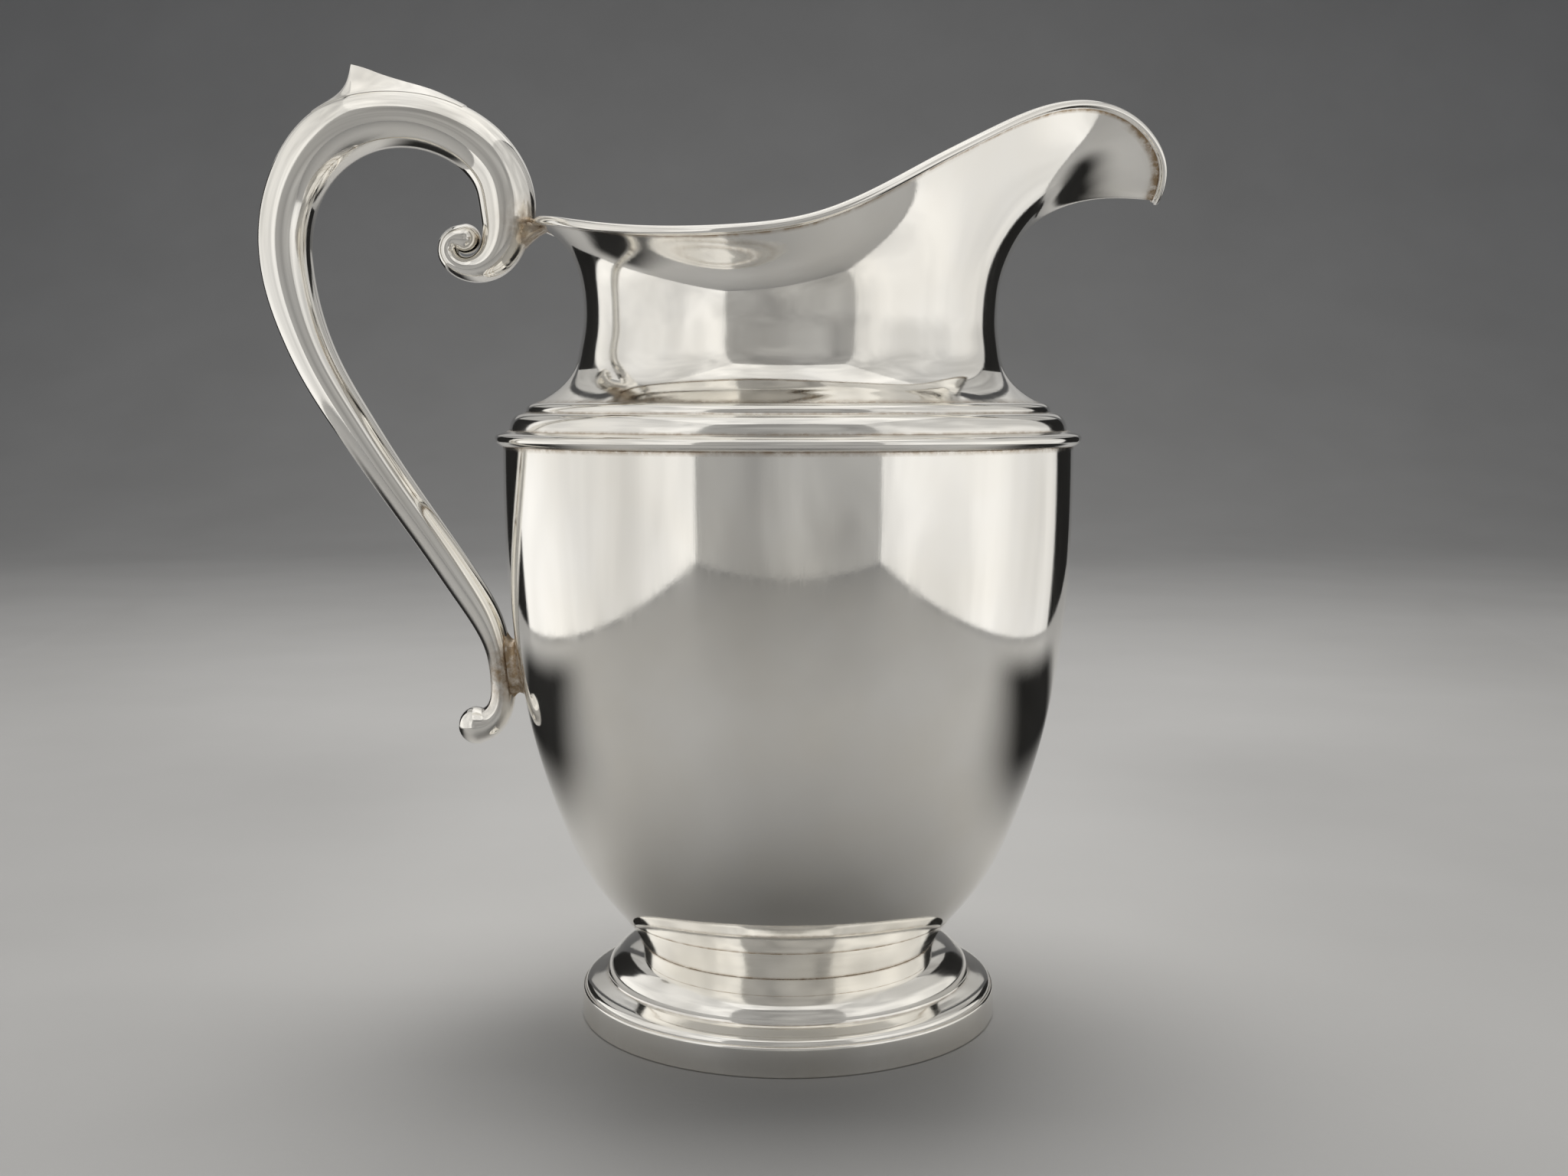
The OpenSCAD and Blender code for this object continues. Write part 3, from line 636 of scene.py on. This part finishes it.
# ---- stage ----
def glow(name, low, high, span, tint):
    """A studio panel's light: from low at its foot to high at its top, a little uneven."""
    material = bpy.data.materials.new(name)
    material.use_nodes = True
    tree = material.node_tree
    tree.nodes.clear()
    place = tree.nodes.new("ShaderNodeTexCoord")
    parts = tree.nodes.new("ShaderNodeSeparateXYZ")
    tree.links.new(place.outputs["Object"], parts.inputs[0])
    fade = tree.nodes.new("ShaderNodeMapRange")
    for key, number in (("From Max", span), ("To Min", low), ("To Max", high)):
        fade.inputs[key].default_value = number
    tree.links.new(parts.outputs["Z"], fade.inputs["Value"])
    cloth = tree.nodes.new("ShaderNodeTexNoise")
    cloth.inputs["Scale"].default_value = 3.2
    cloth.inputs["Detail"].default_value = 3.0
    cloth.inputs["Distortion"].default_value = 0.6
    tree.links.new(place.outputs["Object"], cloth.inputs["Vector"])
    uneven = tree.nodes.new("ShaderNodeMapRange")
    for key, number in (("From Min", 0.3), ("From Max", 0.7), ("To Min", 0.72), ("To Max", 1.18)):
        uneven.inputs[key].default_value = number
    tree.links.new(cloth.outputs["Fac"], uneven.inputs["Value"])
    product = tree.nodes.new("ShaderNodeMath")
    product.operation = "MULTIPLY"
    tree.links.new(fade.outputs["Result"], product.inputs[0])
    tree.links.new(uneven.outputs["Result"], product.inputs[1])
    emission = tree.nodes.new("ShaderNodeEmission")
    emission.inputs["Color"].default_value = (*tint, 1)
    tree.links.new(product.outputs[0], emission.inputs["Strength"])
    out = tree.nodes.new("ShaderNodeOutputMaterial")
    tree.links.new(emission.outputs[0], out.inputs["Surface"])
    return material


def card(name, corners, low, high, span=1.0, tint=(1.0, 0.985, 0.955)):
    """A studio panel that only the silver sees: it isn't in view, and it doesn't light the floor."""
    mesh = bpy.data.meshes.new(name)
    mesh.from_pydata(corners, [], [tuple(range(len(corners)))])
    panel = bpy.data.objects.new(name, mesh)
    bpy.context.scene.collection.objects.link(panel)
    mesh.materials.append(glow(name, low, high, span, tint))
    panel.visible_camera = False
    panel.visible_diffuse = False
    panel.visible_shadow = False
    return panel


def upright(x0, y0, x1, y1, low, high):
    return [(x0, y0, low), (x1, y1, low), (x1, y1, high), (x0, y0, high)]


def shade(name, x, y):
    """A dark sheet on the floor beside the pitcher, soft at its edges, that only the silver sees."""
    lift = 0.0006
    corners = [(x[0], y[0], lift), (x[1], y[0], lift), (x[1], y[1], lift), (x[0], y[1], lift)]
    panel = card(name, corners, 0.02, 0.02)
    tree = panel.data.materials[0].node_tree
    dark = next(n for n in tree.nodes if n.type == "EMISSION")
    out = next(n for n in tree.nodes if n.type == "OUTPUT_MATERIAL")
    parts = next(n for n in tree.nodes if n.type == "SEPXYZ")
    cover = None
    for axis, (low, high) in (("X", x), ("Y", y)):
        middle, half = (low + high) / 2, (high - low) / 2
        centred = tree.nodes.new("ShaderNodeMath")
        centred.operation = "SUBTRACT"
        tree.links.new(parts.outputs[axis], centred.inputs[0])
        centred.inputs[1].default_value = middle
        away = tree.nodes.new("ShaderNodeMath")
        away.operation = "ABSOLUTE"
        tree.links.new(centred.outputs[0], away.inputs[0])
        fade = tree.nodes.new("ShaderNodeMapRange")
        fade.interpolation_type = "SMOOTHSTEP"
        for key, number in (("From Min", half * 0.35), ("From Max", half),
                            ("To Min", 1.0), ("To Max", 0.0)):
            fade.inputs[key].default_value = number
        tree.links.new(away.outputs[0], fade.inputs["Value"])
        if cover is None:
            cover = fade.outputs["Result"]
        else:
            product = tree.nodes.new("ShaderNodeMath")
            product.operation = "MULTIPLY"
            tree.links.new(cover, product.inputs[0])
            tree.links.new(fade.outputs["Result"], product.inputs[1])
            cover = product.outputs[0]
    clear = tree.nodes.new("ShaderNodeBsdfTransparent")
    mixed = tree.nodes.new("ShaderNodeMixShader")
    tree.links.new(cover, mixed.inputs[0])
    tree.links.new(clear.outputs[0], mixed.inputs[1])
    tree.links.new(dark.outputs[0], mixed.inputs[2])
    tree.links.new(mixed.outputs[0], out.inputs["Surface"])


def sweep():
    """The pale floor, which turns up into a plain backdrop behind the pitcher."""
    half_width, near, bend_start, bend_r, height = 6.0, -6.0, 1.3, 1.0, 4.0
    line = [(near, 0.0), (bend_start, 0.0)]
    line += [(bend_start + bend_r * math.sin(w), bend_r * (1 - math.cos(w)))
             for w in np.radians(np.linspace(3, 90, 30))]
    line.append((bend_start + bend_r, height))
    points = [(x, y, z) for y, z in line for x in (-half_width, half_width)]
    faces = [(2 * i, 2 * i + 1, 2 * i + 3, 2 * i + 2) for i in range(len(line) - 1)]
    mesh = bpy.data.meshes.new("floor")
    mesh.from_pydata(points, [], faces)
    mesh.polygons.foreach_set("use_smooth", [True] * len(mesh.polygons))
    ground = bpy.data.objects.new("floor", mesh)
    bpy.context.scene.collection.objects.link(ground)
    mesh.materials.append(floor_material())


def stage():
    """A pale floor under soft light, pale tent walls, and flags behind, dark low and paler above."""
    sweep()
    flag_top = 0.36
    side, front, back, behind, foot_line, top = 0.42, -0.62, 0.30, 0.95, 0.004, 0.85
    card("tent_left", upright(-side, front, -side, back, foot_line, top), 0.95, 0.62)
    card("tent_right", upright(side, front, side, back, foot_line, top), 0.85, 0.55)
    card("tent_front", upright(-side, front, side, front, foot_line, top), 0.42, 0.30)
    roof = [(-side, front, top), (side, front, top), (side, behind, top), (-side, behind, top)]
    card("tent_top", roof, 0.9, 0.9)
    card("tent_back", upright(-side, behind, side, behind, 0.27, top), 0.25, 0.75, span=top)
    for name, x in (("flag_left", -1), ("flag_right", 1)):
        card(name, upright(x * side, back + 0.01, x * 0.5, behind, foot_line, flag_top), 0.015, 0.03)
        card(name + "_upper", upright(x * side, back + 0.01, x * 0.5, behind, flag_top, top), 0.45, 0.5)
    shade("shade_left", (-0.40, -0.09), (-0.06, 0.42))
    shade("shade_right", (0.09, 0.40), (-0.06, 0.42))
    lamp = bpy.data.lights.new("overhead", "AREA")
    lamp.shape = "SQUARE"
    lamp.size = 0.8
    lamp.energy = 12.0
    lamp.color = (1.0, 0.985, 0.96)
    light = bpy.data.objects.new("overhead", lamp)
    light.location = (0.0, 0.35, 1.15)
    light.visible_camera = False
    bpy.context.scene.collection.objects.link(light)
    world = bpy.data.worlds.new("studio")
    bpy.context.scene.world = world
    world.use_nodes = True
    background = world.node_tree.nodes["Background"]
    background.inputs["Color"].default_value = (0.115, 0.12, 0.13, 1)
    background.inputs["Strength"].default_value = 1.0
    bpy.context.scene.view_settings.view_transform = "Standard"


def camera():
    """The photograph's viewpoint: close, a little above the shoulder, looking slightly down."""
    data = bpy.data.cameras.new("camera")
    data.sensor_width = 36
    data.lens = 41.25
    data.clip_start = 0.01
    data.dof.use_dof = False
    eye = bpy.data.objects.new("camera", data)
    eye.location = (-0.97 * MM, -434.8 * MM, 148.8 * MM)
    eye.rotation_euler = (math.radians(90 - 5.89), 0, 0)
    bpy.context.scene.collection.objects.link(eye)
    bpy.context.scene.camera = eye


camera()
stage()
foot()
body()
shoulder()
neck()
handle()
spur()
mounts()
